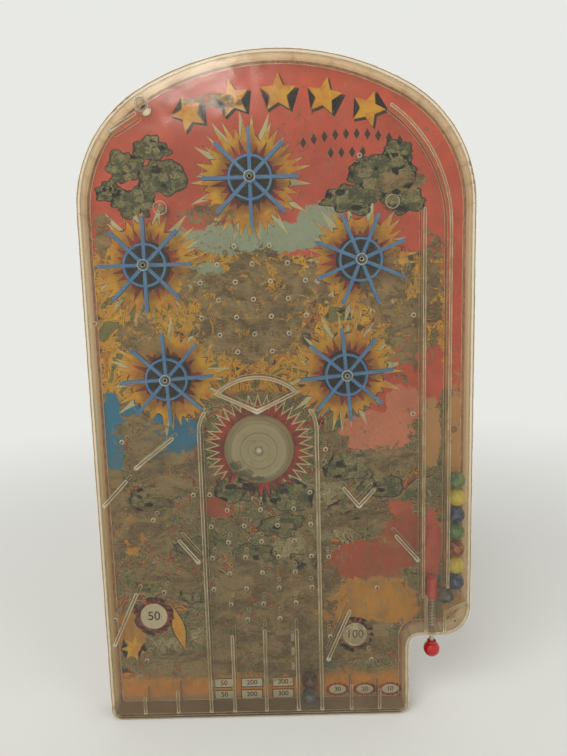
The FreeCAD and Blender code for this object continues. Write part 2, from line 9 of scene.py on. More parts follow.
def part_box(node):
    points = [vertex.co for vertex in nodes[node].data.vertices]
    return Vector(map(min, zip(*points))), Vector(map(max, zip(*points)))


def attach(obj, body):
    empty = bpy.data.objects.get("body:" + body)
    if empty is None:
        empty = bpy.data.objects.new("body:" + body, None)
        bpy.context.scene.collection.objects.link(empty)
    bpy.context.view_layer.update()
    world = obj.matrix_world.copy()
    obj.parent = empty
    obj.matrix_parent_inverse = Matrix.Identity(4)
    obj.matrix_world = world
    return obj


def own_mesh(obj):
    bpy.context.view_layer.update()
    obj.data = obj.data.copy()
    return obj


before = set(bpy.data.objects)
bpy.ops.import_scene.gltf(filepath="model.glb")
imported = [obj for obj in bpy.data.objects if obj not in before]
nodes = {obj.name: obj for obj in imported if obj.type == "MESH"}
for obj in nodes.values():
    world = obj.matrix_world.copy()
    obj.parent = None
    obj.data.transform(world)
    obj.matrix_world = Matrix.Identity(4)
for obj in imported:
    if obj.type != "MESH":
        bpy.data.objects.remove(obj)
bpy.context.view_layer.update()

# Looks of the bagatelle board game. Lengths in this script are in millimetres in the
# part's frame, and MM turns them into Blender's metres. The front faces -Y.

MM = 0.001

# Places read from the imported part
print_low, print_high = (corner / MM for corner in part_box("printed_sheet"))
bell_low, bell_high = (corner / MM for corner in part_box("bell_gong"))
cover_low, cover_high = (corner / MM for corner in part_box("clear_cover"))
PRINT_FRONT = print_low.y
FRONT_T = cover_high.y - cover_low.y
COVER_FRONT = cover_low.y
BELL_X = (bell_low.x + bell_high.x) / 2
BELL_Z = (bell_low.z + bell_high.z) / 2
BELL_R = (bell_high.x - bell_low.x) / 2
SPINNERS = [name for name in sorted(nodes) if name.startswith("spinner_")]


def middle(node):
    """The middle of a node's box in the front view."""
    low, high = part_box(node)
    return ((low.x + high.x) / 2 / MM, (low.z + high.z) / 2 / MM)


# Print sizes
INK_T = 0.03
SHEET_EDGE = 0.6
OUTLINE = 1.3
BADGE_R = 47.0
BADGE_INNER_R = 34.0
DISC_R = 20.5
POST_R = 3.1
# Painted glint: how far up from its lowest point a highlight line grows thicker.
FOOT_GLOW = 4.0
BELL_STEPS = (9.5, 16.0, 25.0)
LINE_FLAT = 0.35
PIN_RING_SMALLEST = 3.0


def colour(r, g, b):
    """A linear colour from the 0 to 255 values that it shows as."""
    values = []
    for v in (r / 255, g / 255, b / 255):
        values.append(v / 12.92 if v <= 0.04045 else ((v + 0.055) / 1.055) ** 2.4)
    return (*values, 1.0)


# The print's colours are set brighter than its real inks: painted light that makes up for the light the clear cover and
# the case hold back.
RED = colour(236, 104, 86)
DEEP_RED = colour(140, 40, 30)
PINK = colour(236, 146, 122)
YELLOW = colour(250, 196, 52)
ORANGE = colour(236, 160, 52)
CREAM = colour(226, 224, 186)
OLIVE = colour(134, 140, 88)
DARK_OLIVE = colour(82, 86, 54)
TEAL = colour(176, 198, 182)
BLUE = colour(34, 140, 200)
INK = colour(46, 38, 32)
BLACK = colour(26, 24, 24)
BROWN = colour(166, 146, 106)
DARK_BROWN = colour(112, 94, 62)
WHITE_INK = colour(236, 232, 214)
GRIME = colour(104, 88, 60)
STONE = colour(190, 184, 148)
SAGE = colour(164, 170, 122)
BRICK = colour(196, 88, 62)
OCHRE = colour(222, 160, 62)
LEAF = colour(84, 108, 76)


class Net:
    """Adds nodes to one node tree and hands back their output sockets."""

    def __init__(self, tree):
        self.tree = tree
        tree.nodes.clear()

    def node(self, kind, inputs, **settings):
        made = self.tree.nodes.new(kind)
        for key, value in settings.items():
            setattr(made, key, value)
        for key, value in inputs.items():
            if isinstance(value, bpy.types.NodeSocket):
                self.tree.links.new(value, made.inputs[key])
            else:
                made.inputs[key].default_value = value
        return made

    def math(self, operation, a, b=0.0, clamp=False):
        return self.node("ShaderNodeMath", {0: a, 1: b}, operation=operation, use_clamp=clamp).outputs[0]

    def vector(self, operation, a, b):
        return self.node("ShaderNodeVectorMath", {0: a, 1: b}, operation=operation).outputs[0]

    def dot(self, a, b):
        return self.node("ShaderNodeVectorMath", {0: a, 1: b}, operation="DOT_PRODUCT").outputs["Value"]

    def step(self, value, low, high):
        """0 below low and 1 above high, with a smooth rise between them."""
        sockets = {"Value": value, "From Min": low, "From Max": high}
        return self.node("ShaderNodeMapRange", sockets, interpolation_type="SMOOTHSTEP").outputs["Result"]

    def mix(self, amount, a, b, blend="MIX"):
        sockets = {0: amount, 6: a, 7: b}
        return self.node("ShaderNodeMix", sockets, data_type="RGBA", blend_type=blend).outputs[2]

    def place(self):
        """Where a point is on its object, in millimetres."""
        where = self.node("ShaderNodeTexCoord", {}).outputs["Object"]
        return self.vector("MULTIPLY", where, (1 / MM,) * 3)

    def noise(self, place, size, detail=3.0, rough=0.55, warp=0.0):
        sockets = {"Vector": place, "Scale": 1 / size, "Detail": detail, "Roughness": rough, "Distortion": warp}
        return self.node("ShaderNodeTexNoise", sockets).outputs["Fac"]

    def normal_y(self):
        """How squarely a face looks along Y, from 0 to 1."""
        normal = self.node("ShaderNodeNewGeometry", {}).outputs["Normal"]
        return self.math("ABSOLUTE", self.dot(normal, (0.0, 1.0, 0.0)))

    def outward(self, place, centre):
        """1 on faces that look away from a centre, and 0 on faces that look towards it."""
        geometry = self.node("ShaderNodeNewGeometry", {}).outputs
        facing = self.dot(geometry["Normal"], self.vector("SUBTRACT", place, centre))
        side = self.math("SUBTRACT", 1.0, self.math("MULTIPLY", geometry["Backfacing"], 2.0))
        return self.step(self.math("MULTIPLY", facing, side), -0.01, 0.01)

    def blobs(self, place, ovals, ragged, soft=0.12):
        """1 inside any of the ovals, given as x, z and the half sizes, and 0 outside, with an uneven edge."""
        inside = None
        for x, z, half_x, half_z in ovals:
            offset = self.vector("SUBTRACT", place, (x, 0.0, z))
            scaled = self.vector("MULTIPLY", offset, (1 / half_x, 0.0, 1 / half_z))
            depth = self.math("SUBTRACT", 1.0, self.dot(scaled, scaled))
            inside = depth if inside is None else self.math("MAXIMUM", inside, depth)
        return self.step(self.math("ADD", inside, ragged), -soft, soft)

    def uneven(self, place, size, strength, detail=5.0, warp=0.6):
        """A noise about zero that makes an edge ragged."""
        return self.math("MULTIPLY", self.math("SUBTRACT", self.noise(place, size, detail, 0.62, warp), 0.5), strength)

    def bump(self, height, strength, depth):
        sockets = {"Height": height, "Strength": strength, "Distance": depth * MM}
        return self.node("ShaderNodeBump", sockets).outputs["Normal"]

    def finish(self, shader):
        self.node("ShaderNodeOutputMaterial", {"Surface": shader})


def new_material(name):
    made = bpy.data.materials.new(name)
    made.use_nodes = True
    return made, Net(made.node_tree)


def principled(net, base, **values):
    sockets = {"Base Color": base}
    for key, value in values.items():
        sockets[key.replace("_", " ")] = value
    return net.node("ShaderNodeBsdfPrincipled", sockets).outputs[0]


# Wear of the print. Ovals are where the print is rubbed through to the brown board.
WORN = (
    (-22.0, 392.0, 60.0, 34.0), (-22.0, 352.0, 46.0, 22.0), (94.0, 392.0, 22.0, 34.0), (112.0, 352.0, 22.0, 34.0),
    (-122.0, 352.0, 20.0, 16.0), (132.0, 388.0, 9.0, 52.0), (104.0, 478.0, 20.0, 9.0), (-58.0, 456.0, 24.0, 8.0),
    (-128.0, 262.0, 22.0, 24.0), (-100.0, 226.0, 34.0, 22.0), (-124.0, 182.0, 26.0, 30.0), (-96.0, 132.0, 40.0, 18.0),
    (-40.0, 118.0, 30.0, 26.0), (18.0, 112.0, 34.0, 34.0), (-54.0, 66.0, 22.0, 36.0), (-6.0, 60.0, 44.0, 36.0),
    (62.0, 186.0, 36.0, 18.0), (96.0, 236.0, 24.0, 16.0), (70.0, 62.0, 36.0, 20.0), (-96.0, 44.0, 34.0, 14.0),
    (44.0, 252.0, 14.0, 12.0), (-50.0, 548.0, 26.0, 6.0), (-150.0, 440.0, 8.0, 20.0), (-154.0, 190.0, 10.0, 50.0),
)


def make_wear():
    """The wear that every printed piece shares: how far a point is rubbed through, how dirty it is, and its scuffs."""
    tree = bpy.data.node_groups.new("print_wear", "ShaderNodeTree")
    for name in ("Worn", "Dirt", "Scuff", "Reach"):
        tree.interface.new_socket(name, in_out="OUTPUT", socket_type="NodeSocketFloat")
    net = Net(tree)
    place = net.place()
    rubbed = net.blobs(place, WORN, net.uneven(place, 15.0, 4.4, 7.0, 1.0), 0.07)
    islands = net.step(net.noise(place, 11.0, 6.0, 0.68, 1.2), 0.555, 0.575)
    rubbed = net.math("MULTIPLY", rubbed, net.math("SUBTRACT", 1.0, net.math("MULTIPLY", islands, 0.85)))
    chips = net.step(net.noise(place, 7.0, 6.0, 0.72, 0.8), 0.585, 0.61)
    patch = net.step(net.noise(place, 60.0, 2.0), 0.44, 0.6)
    chips = net.math("MULTIPLY", net.math("MULTIPLY", chips, patch), 0.75)
    low = net.step(net.dot(place, (0.0, 0.0, 1.0)), 300.0, 120.0)
    streaks = net.noise(net.vector("MULTIPLY", place, (1.0, 1.0, 0.3)), 9.0, 6.0, 0.7, 0.3)
    fade = net.math("MULTIPLY", low, net.step(streaks, 0.42, 0.62))
    worn = net.math("MAXIMUM", net.math("MAXIMUM", rubbed, chips), net.math("MULTIPLY", fade, 0.38))
    worn = net.math("MULTIPLY", worn, net.step(net.dot(place, (0.0, 0.0, 1.0)), 12.0, 24.0))
    dirt = net.noise(place, 18.0, 6.0, 0.65, 0.2)
    scuff = 0.0
    nearest = 1000.0
    for name in SPINNERS:
        x, z = middle(name)
        offset = net.vector("MULTIPLY", net.vector("SUBTRACT", place, (x, 0.0, z)), (1.0, 0.0, 1.0))
        reach = net.node("ShaderNodeVectorMath", {0: offset}, operation="LENGTH").outputs["Value"]
        nearest = net.math("MINIMUM", nearest, reach)
        off_ring = net.math("ABSOLUTE", net.math("SUBTRACT", reach, 41.6))
        scuff = net.math("MAXIMUM", scuff, net.step(off_ring, 0.6, 0.2))
    scuff = net.math("MULTIPLY", scuff, net.step(net.noise(place, 16.0, 2.0), 0.5, 0.62))
    across = net.vector("MULTIPLY", place, (0.16, 0.16, 2.2))
    turned = net.node("ShaderNodeVectorRotate", {"Vector": place, "Axis": (0.0, 1.0, 0.0), "Angle": 0.9}).outputs[0]
    slanted = net.vector("MULTIPLY", turned, (0.12, 0.12, 2.4))
    lines = net.math("MAXIMUM", net.noise(across, 3.0, 2.0), net.noise(slanted, 3.0, 2.0))
    scuff = net.math("MAXIMUM", scuff, net.step(lines, 0.735, 0.77))
    net.node("NodeGroupOutput", {"Worn": worn, "Dirt": dirt, "Scuff": scuff, "Reach": nearest})
    return tree


WEAR = make_wear()


def board_colour(net, place):
    """The bare brown board under the print, stained and scratched."""
    stain = net.noise(net.vector("MULTIPLY", place, (0.6, 1.0, 1.0)), 13.0, 9.0, 0.72, 0.6)
    brown = net.mix(net.step(stain, 0.40, 0.60), DARK_BROWN, BROWN)
    grain = net.noise(net.vector("MULTIPLY", place, (0.35, 1.0, 1.0)), 1.5, 4.0, 0.7)
    brown = net.mix(net.math("MULTIPLY", net.step(grain, 0.52, 0.72), 0.5), brown, colour(198, 180, 140))
    pits = net.step(net.noise(place, 2.2, 3.0, 0.7), 0.60, 0.68)
    return net.mix(net.math("MULTIPLY", pits, 0.55), brown, colour(72, 60, 42))


def ink_material(name, paint, keeps=0.0):
    """A printed colour with the shared wear. paint makes its colour, and keeps is how well it stays on."""
    made, net = new_material(name)
    place = net.place()
    wear = net.tree.nodes.new("ShaderNodeGroup")
    wear.node_tree = WEAR
    ink = paint(net, place, wear) if callable(paint) else paint
    shade = net.step(wear.outputs["Dirt"], 0.3, 0.7)
    ink = net.mix(shade, net.mix(0.16, ink, GRIME), ink)
    speck = net.step(net.noise(place, 1.6, 2.0), 0.62, 0.7)
    ink = net.mix(net.math("MULTIPLY", speck, 0.3), ink, GRIME)
    worn = wear.outputs["Worn"]
    if keeps:
        worn = net.math("SUBTRACT", worn, keeps, True)
    shown = net.mix(worn, ink, board_colour(net, place))
    shown = net.mix(net.math("MULTIPLY", wear.outputs["Scuff"], 0.4), shown, colour(226, 210, 172))
    normal = net.bump(worn, 0.4, -0.15)
    net.finish(principled(net, shown, Roughness=0.72, Specular_IOR_Level=0.25, Normal=normal))
    return made


def band(net, place, low, high, wave=0.0, soft=1.5):
    """1 between two heights, with a wave along X."""
    x = net.dot(place, (1.0, 0.0, 0.0))
    sway = net.math("MULTIPLY", net.math("SINE", net.math("DIVIDE", x, 13.0)), wave)
    height = net.math("ADD", net.dot(place, (0.0, 0.0, 1.0)), sway)
    above = net.step(height, low - soft, low + soft)
    below = net.step(height, high + soft, high - soft)
    return net.math("MULTIPLY", above, below)


def mottle(net, place, size, stops, warp=1.4, outline=0.006):
    """Flat patches of colour, one for each stop of a noise, with a dark line round each."""
    value = net.noise(place, size, 3.5, 0.6, warp)
    ramp = net.tree.nodes.new("ShaderNodeValToRGB")
    ramp.color_ramp.interpolation = "CONSTANT"
    elements = ramp.color_ramp.elements
    while len(elements) > 1:
        elements.remove(elements[-1])
    elements[0].position = 0.0
    elements[0].color = stops[0][1]
    for position, shown in stops[1:]:
        elements.new(position - outline).color = INK
        elements.new(position + outline).color = shown
    net.tree.links.new(value, ramp.inputs["Fac"])
    return ramp.outputs["Color"]


def paint_sheet(net, place, _wear):
    """The sheet's ground colours: red above, patched fields below, and bands at the foot."""
    edge = net.uneven(place, 16.0, 2.6, 6.0, 1.0)
    wide = mottle(net, place, 30.0, (
        (0.0, LEAF), (0.37, OLIVE), (0.44, BROWN), (0.50, STONE), (0.54, BRICK), (0.58, OCHRE), (0.63, SAGE),
        (0.68, BRICK),
    ))
    fine = mottle(net, place, 11.0, (
        (0.0, DARK_OLIVE), (0.38, SAGE), (0.45, OLIVE), (0.51, STONE), (0.57, colour(168, 118, 76)), (0.62, BRICK),
    ), 1.8, 0.012)
    drawn = net.step(net.noise(place, 26.0, 3.0, 0.6, 0.8), 0.50, 0.515)
    low_field = net.mix(drawn, wide, fine)
    mid_field = mottle(net, place, 24.0, (
        (0.0, OLIVE), (0.40, colour(232, 178, 60)), (0.50, YELLOW), (0.56, colour(214, 144, 62)),
        (0.62, DARK_OLIVE),
    ))
    ground = net.mix(band(net, place, 300.0, 900.0, 3.0, 3.0), low_field, mid_field)
    shade = net.step(net.noise(place, 50.0, 3.0), 0.35, 0.65)
    red = net.mix(shade, colour(214, 90, 72), RED)
    ground = net.mix(band(net, place, 428.0, 900.0, 3.0), ground, red)
    right = (
        (154.0, 420.0, 12.0, 124.0), (96.0, 290.0, 18.0, 26.0), (112.0, 318.0, 14.0, 30.0), (70.0, 428.0, 90.0, 10.0),
        (133.0, 314.0, 12.0, 28.0), (133.0, 152.0, 11.0, 34.0), (104.0, 176.0, 16.0, 22.0),
    )
    ground = net.mix(net.blobs(place, right, edge), ground, red)
    pink = ((84.0, 262.0, 34.0, 18.0), (40.0, 404.0, 12.0, 16.0), (108.0, 286.0, 16.0, 20.0))
    ground = net.mix(net.blobs(place, pink, edge), ground, PINK)
    tan = ((153.0, 176.0, 10.0, 124.0), (133.0, 258.0, 9.0, 32.0))
    ground = net.mix(net.blobs(place, tan, edge), ground, colour(214, 168, 116))
    teal = ((-20.0, 436.0, 74.0, 14.0), (-62.0, 404.0, 16.0, 12.0), (36.0, 446.0, 20.0, 18.0))
    ground = net.mix(net.blobs(place, teal, edge), ground, TEAL)
    stone = (
        (18.0, 206.0, 40.0, 14.0), (40.0, 176.0, 22.0, 14.0), (4.0, 158.0, 16.0, 12.0), (84.0, 212.0, 20.0, 7.0),
        (-20.0, 220.0, 18.0, 8.0), (62.0, 226.0, 14.0, 6.0), (-112.0, 62.0, 14.0, 8.0), (-84.0, 72.0, 8.0, 8.0),
    )
    rubble = mottle(net, place, 9.0, ((0.0, OLIVE), (0.40, STONE), (0.52, colour(214, 208, 172)), (0.60, STONE)), 1.6, 0.012)
    ground = net.mix(net.blobs(place, stone, net.uneven(place, 11.0, 3.4, 6.0, 1.0)), ground, rubble)
    blue = ((-98.0, 262.0, 24.0, 20.0), (-152.0, 268.0, 9.0, 40.0), (-124.0, 284.0, 18.0, 10.0), (108.0, 40.0, 5.0, 14.0))
    ground = net.mix(net.blobs(place, blue, edge), ground, BLUE)
    brick = ((76.0, 142.0, 40.0, 20.0), (112.0, 168.0, 20.0, 20.0), (-60.0, 196.0, 16.0, 9.0), (-88.0, 142.0, 12.0, 12.0))
    ground = net.mix(net.blobs(place, brick, edge), ground, BRICK)
    amber = ((68.0, 100.0, 56.0, 26.0), (-146.0, 74.0, 14.0, 22.0), (-140.0, 172.0, 12.0, 18.0))
    ground = net.mix(net.blobs(place, amber, edge), ground, OCHRE)
    foot_edge = net.math("ADD", 24.0, net.uneven(place, 30.0, 10.0))
    height = net.dot(place, (0.0, 0.0, 1.0))
    ground = net.mix(net.step(height, net.math("ADD", foot_edge, 14.0), foot_edge), ground, ORANGE)
    bare = net.step(height, net.math("ADD", foot_edge, -12.0), net.math("ADD", foot_edge, -15.0))
    return net.mix(bare, ground, colour(206, 166, 112))


def paint_yellow(net, place, wear):
    """Yellow with orange clouds, brown towards the middle of a badge and pale at the tips of its points."""
    shown = net.mix(net.step(net.noise(place, 12.0, 4.0), 0.36, 0.62), ORANGE, YELLOW)
    reach = net.math("ADD", wear.outputs["Reach"], net.uneven(place, 9.0, 12.0))
    shown = net.mix(net.math("MULTIPLY", net.step(reach, 33.0, 26.0), 0.55), shown, colour(176, 104, 44))
    tips = net.math("MULTIPLY", net.step(reach, 41.0, 46.0), net.step(reach, 62.0, 56.0))
    return net.mix(net.math("MULTIPLY", tips, 0.75), shown, colour(240, 224, 166))


INKS = {
    "yellow": ink_material("ink_yellow", paint_yellow, 0.15),
    "red": ink_material("ink_red", RED, 0.1),
    "deep_red": ink_material("ink_deep_red", lambda net, place, wear: net.mix(
        net.step(net.noise(place, 8.0), 0.4, 0.6), DEEP_RED, colour(196, 62, 48)), 0.2),
    "outline": ink_material("ink_outline", INK, 0.1),
    "black": ink_material("ink_black", BLACK, 0.6),
    "cream": ink_material("ink_cream", CREAM),
    "olive": ink_material("ink_olive", lambda net, place, wear: mottle(net, place, 6.0, (
        (0.0, DARK_OLIVE), (0.40, LEAF), (0.46, OLIVE), (0.52, SAGE), (0.59, OLIVE)), 1.8, 0.012)),
    "leaf": ink_material("ink_leaf", lambda net, place, wear: mottle(net, place, 5.0, (
        (0.0, DARK_OLIVE), (0.44, LEAF), (0.56, DARK_OLIVE)), 1.6, 0.012)),
    "sage": ink_material("ink_sage", lambda net, place, wear: mottle(net, place, 5.0, (
        (0.0, OLIVE), (0.42, SAGE), (0.50, STONE), (0.58, SAGE)), 1.6, 0.012)),
    "teal": ink_material("ink_teal", TEAL),
    "orange": ink_material("ink_orange", ORANGE, 0.2),
    "white": ink_material("ink_white", WHITE_INK, 0.5),
    "text": ink_material("ink_text", INK, 0.6),
}
SHEET = ink_material("printed_sheet", paint_sheet)


def dress(name, material):
    """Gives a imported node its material."""
    mesh = nodes[name].data
    mesh.materials.clear()
    mesh.materials.append(material)


def piece(name, mesh, material, body):
    mesh.materials.append(material)
    made = bpy.data.objects.new(name, mesh)
    bpy.context.scene.collection.objects.link(made)
    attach(made, body)
    return made


def radial(x, z, radii, turn=0.0, wide=1.0):
    """A closed outline about a centre, with its radii at even angles from the top."""
    points = []
    for i, r in enumerate(radii):
        a = math.tau * i / len(radii) + math.radians(turn)
        points.append((x + wide * r * math.sin(a), z + r * math.cos(a)))
    return points


def disc(x, z, r, wide=1.0, grow=0.0):
    return radial(x, z, [r + grow] * 48, 0.0, wide)


def star(x, z, outer, inner, count, turn=0.0, grow=0.0):
    """A star. grow pushes its outline outwards."""
    return radial(x, z, [outer + 1.8 * grow, inner + grow] * count, turn)


def burst(x, z, outer, inner, count, seed, grow=0.0, uneven=0.12):
    """A star whose points differ in length."""
    rng = random.Random(seed)
    radii = []
    for _ in range(count):
        radii += [outer * (1 + rng.uniform(-uneven, 0.5 * uneven)) + 2.0 * grow, inner * rng.uniform(0.92, 1.08) + grow]
    return radial(x, z, radii, 360 / count * rng.random())


def scallop(x, z, half_x, half_z, lobes, grow=0.0):
    """A cloud: an oval whose edge is a row of round lobes."""
    steps = 8
    radii = []
    for i in range(lobes * steps):
        swell = abs(math.sin(math.pi * i / steps))
        radii.append(half_z * (0.82 + 0.18 * swell) + grow)
    return radial(x, z, radii, 0.0, half_x / half_z)


def clump(x, z, half_x, half_z, lobes, grow=0.0):
    """A bush: an oval whose edge is a row of uneven lobes."""
    steps = 8
    radii = []
    for i in range(lobes * steps):
        a = math.tau * i / (lobes * steps)
        swell = abs(math.sin(math.pi * i / steps))
        sway = noise.noise(Vector((1.9 * math.sin(a) + x, 1.9 * math.cos(a) + z, lobes)))
        radii.append(half_z * (0.80 + 0.14 * swell + 0.42 * sway) + grow)
    return radial(x, z, radii, 0.0, half_x / half_z)


def box_outline(x, z, half_x, half_z, grow=0.0):
    w, h = half_x + grow, half_z + grow
    return [(x - w, z - h), (x - w, z + h), (x + w, z + h), (x + w, z - h)]


def on_sheet(x, z):
    """Keeps a printed point between the sheet's sides."""
    return min(max(x, print_low.x + SHEET_EDGE), print_high.x - SHEET_EDGE), z


def ink_layer(name, outlines, level, ink, holes=()):
    """A layer of ink: each outline is a thin closed slab on the sheet, level counts the layers under it,
    and a hole is cut where an outline's centre has a hole radius."""
    mesh = bmesh.new()
    back = PRINT_FRONT - INK_T * (level - 1) if level > 1 else PRINT_FRONT
    front = PRINT_FRONT - INK_T * level
    for k, points in enumerate(outlines):
        points = [on_sheet(x, z) for x, z in points]
        hole = holes[k] if k < len(holes) else None
        rings = []
        for y in (front, back):
            rings.append([mesh.verts.new((x * MM, y * MM, z * MM)) for x, z in points])
            if hole:
                hx, hz, hr = hole
                inner = []
                for x, z in points:
                    a = math.atan2(x - hx, z - hz)
                    inner.append(mesh.verts.new(((hx + hr * math.sin(a)) * MM, y * MM, (hz + hr * math.cos(a)) * MM)))
                rings.append(inner)
        count = len(points)
        for i in range(count):
            j = (i + 1) % count
            if hole:
                fo, fi, bo, bi = rings
                mesh.faces.new((fo[i], fo[j], fi[j], fi[i]))
                mesh.faces.new((bo[j], bo[i], bi[i], bi[j]))
                mesh.faces.new((fi[i], fi[j], bi[j], bi[i]))
                mesh.faces.new((fo[j], fo[i], bo[i], bo[j]))
            else:
                f, b = rings
                mesh.faces.new((f[j], f[i], b[i], b[j]))
        if not hole:
            mesh.faces.new(rings[0])
            mesh.faces.new(list(reversed(rings[1])))
    bmesh.ops.triangulate(mesh, faces=[f for f in mesh.faces if len(f.verts) > 4])
    bmesh.ops.recalc_face_normals(mesh, faces=mesh.faces)
    data = bpy.data.meshes.new(name)
    mesh.to_mesh(data)
    mesh.free()
    return piece(name, data, INKS[ink], "root")


def add_badges():
    """A star badge under each spinner and a ring of points round the bell."""
    places = [middle(name) for name in SPINNERS]
    holes = [(x, z, POST_R) for x, z in places]
    for name, maker, level, ink in (
        ("badge_flares", lambda x, z, s: burst(x, z, BADGE_R + 5, 24.0, 14, s + 20, 0.0, 0.2), 2, "cream"),
        ("badge_outline", lambda x, z, s: burst(x, z, BADGE_R, BADGE_INNER_R, 38, s, OUTLINE / 2, 0.3), 3, "outline"),
        ("badge_star", lambda x, z, s: burst(x, z, BADGE_R, BADGE_INNER_R, 38, s, 0.0, 0.3), 4, "yellow"),
        ("badge_red_star", lambda x, z, s: burst(x, z, 31.0, 21.5, 26, s + 9, 0.0, 0.3), 5, "deep_red"),
        ("badge_disc", lambda x, z, s: disc(x, z, DISC_R), 6, "black"),
    ):
        ink_layer(name, [maker(x, z, s) for s, (x, z) in enumerate(places)], level, ink, holes)
    bell_hole = [(BELL_X, BELL_Z, 6.0)]
    ink_layer("bell_outline", [star(BELL_X, BELL_Z, BELL_R + 17, BELL_R + 6, 36, 0, 1.0)], 2, "cream", bell_hole)
    ink_layer("bell_star", [star(BELL_X, BELL_Z, BELL_R + 15, BELL_R + 4, 36)], 3, "deep_red", bell_hole)


def add_star_row():
    """A row of plain five-pointed stars on an arc, and two rows of small diamonds, where the field is widest."""
    stars = []
    shadows = []
    for i in range(5):
        a = math.radians(-22 + 11 * i)
        x, z = 4 + 200 * math.sin(a), 353 + 200 * math.cos(a)
        r = 16.0 - 0.5 * abs(i - 2)
        turn = math.degrees(a)
        stars.append(star(x, z, r, r * 0.46, 5, turn))
        shadows.append(star(x + 1.6, z - 1.8, r, r * 0.46, 5, turn, 0.5))
    ink_layer("star_shadows", shadows, 2, "outline")
    ink_layer("stars", stars, 3, "yellow")
    diamonds = []
    for i in range(10):
        x = 24 + 9.0 * i
        diamonds.append(radial(x, 519 - 0.004 * (x - 64) ** 2, (4.6, 2.6, 4.6, 2.6)))
    for i in range(4):
        diamonds.append(radial(47 + 9.0 * i, 504, (4.6, 2.6, 4.6, 2.6)))
    ink_layer("diamonds", diamonds, 2, "text")


# Clouds and bushes, as x, z, half width, half height and lobes
CLOUDS = (
    (-128.0, 497.0, 17.0, 13.0, 9), (-104.0, 512.0, 15.0, 11.0, 8), (-97.0, 488.0, 21.0, 15.0, 10),
    (-122.0, 468.0, 19.0, 13.0, 9), (-142.0, 478.0, 11.0, 9.0, 7), (92.0, 486.0, 30.0, 18.0, 12),
    (66.0, 466.0, 27.0, 13.0, 11), (108.0, 464.0, 20.0, 13.0, 9), (104.0, 504.0, 13.0, 9.0, 7),
    (-40.0, 214.0, 26.0, 14.0, 10), (2.0, 206.0, 24.0, 17.0, 10), (-4.0, 178.0, 20.0, 12.0, 9),
    (60.0, 232.0, 24.0, 14.0, 10), (88.0, 214.0, 20.0, 12.0, 9), (-120.0, 206.0, 22.0, 13.0, 10),
    (-30.0, 150.0, 18.0, 11.0, 8), (14.0, 140.0, 16.0, 11.0, 8), (60.0, 190.0, 22.0, 9.0, 9),
    (-84.0, 158.0, 18.0, 11.0, 8), (-86.0, 112.0, 14.0, 9.0, 8),
)


def add_clouds():
    """Bushes in broken greens, each with darker and paler leaves."""
    rng = random.Random(5)
    darks = []
    lights = []
    for x, z, w, h, _ in CLOUDS:
        for k in range(11):
            a = rng.uniform(0, math.tau)
            r = 0.66 * math.sqrt(rng.random())
            leaf = clump(x + w * r * math.cos(a), z + h * r * math.sin(a), 0.24 * w, 0.26 * h, 4)
            (lights if k % 2 else darks).append(leaf)
    ink_layer("bush_outlines", [clump(*cloud, 1.0) for cloud in CLOUDS], 1, "outline")
    ink_layer("bushes", [clump(*cloud) for cloud in CLOUDS], 2, "olive")
    ink_layer("bush_shades", darks, 3, "leaf")
    ink_layer("bush_lights", lights, 4, "sage")


def text_mesh(entries, level):
    """Plain numbers, each given as words, x, z and height, as one flat mesh on the sheet."""
    mesh = bmesh.new()
    for words, x, z, height in entries:
        curve = bpy.data.curves.new("number", "FONT")
        curve.body = words
        curve.size = height * 1.35 * MM
        curve.align_x = "CENTER"
        curve.align_y = "CENTER"
        curve.offset = 0.10 * MM
        curve.extrude = INK_T / 2 * MM
        holder = bpy.data.objects.new("number", curve)
        bpy.context.scene.collection.objects.link(holder)
        bpy.context.view_layer.update()
        flat = bpy.data.meshes.new_from_object(holder.evaluated_get(bpy.context.evaluated_depsgraph_get()))
        depth = PRINT_FRONT - INK_T * (level - 0.5)
        flat.transform(Matrix.Translation((x * MM, depth * MM, z * MM)) @ Matrix.Rotation(math.pi / 2, 4, "X"))
        mesh.from_mesh(flat)
        bpy.data.objects.remove(holder)
        bpy.data.curves.remove(curve)
        bpy.data.meshes.remove(flat)
    data = bpy.data.meshes.new("numbers")
    mesh.to_mesh(data)
    mesh.free()
    return data


# Score boxes and ovals at the foot, as words, x, z and half width
LANE_BOXES = (
    ("50", -62.2, 22.6, 8.5), ("200", -35.6, 22.6, 9.6), ("300", -6.2, 22.6, 9.6),
    ("50", -62.2, 10.6, 8.5), ("200", -36.0, 10.6, 9.6), ("300", -6.2, 10.6, 9.6),
)
LANE_OVALS = (("30", 45.5, 13.6), ("20", 71.4, 13.2), ("10", 95.4, 13.0))
ROUND_BADGES = (("100", 62.7, 69.0, 11.5), ("50", -125.0, 91.9, 12.5))


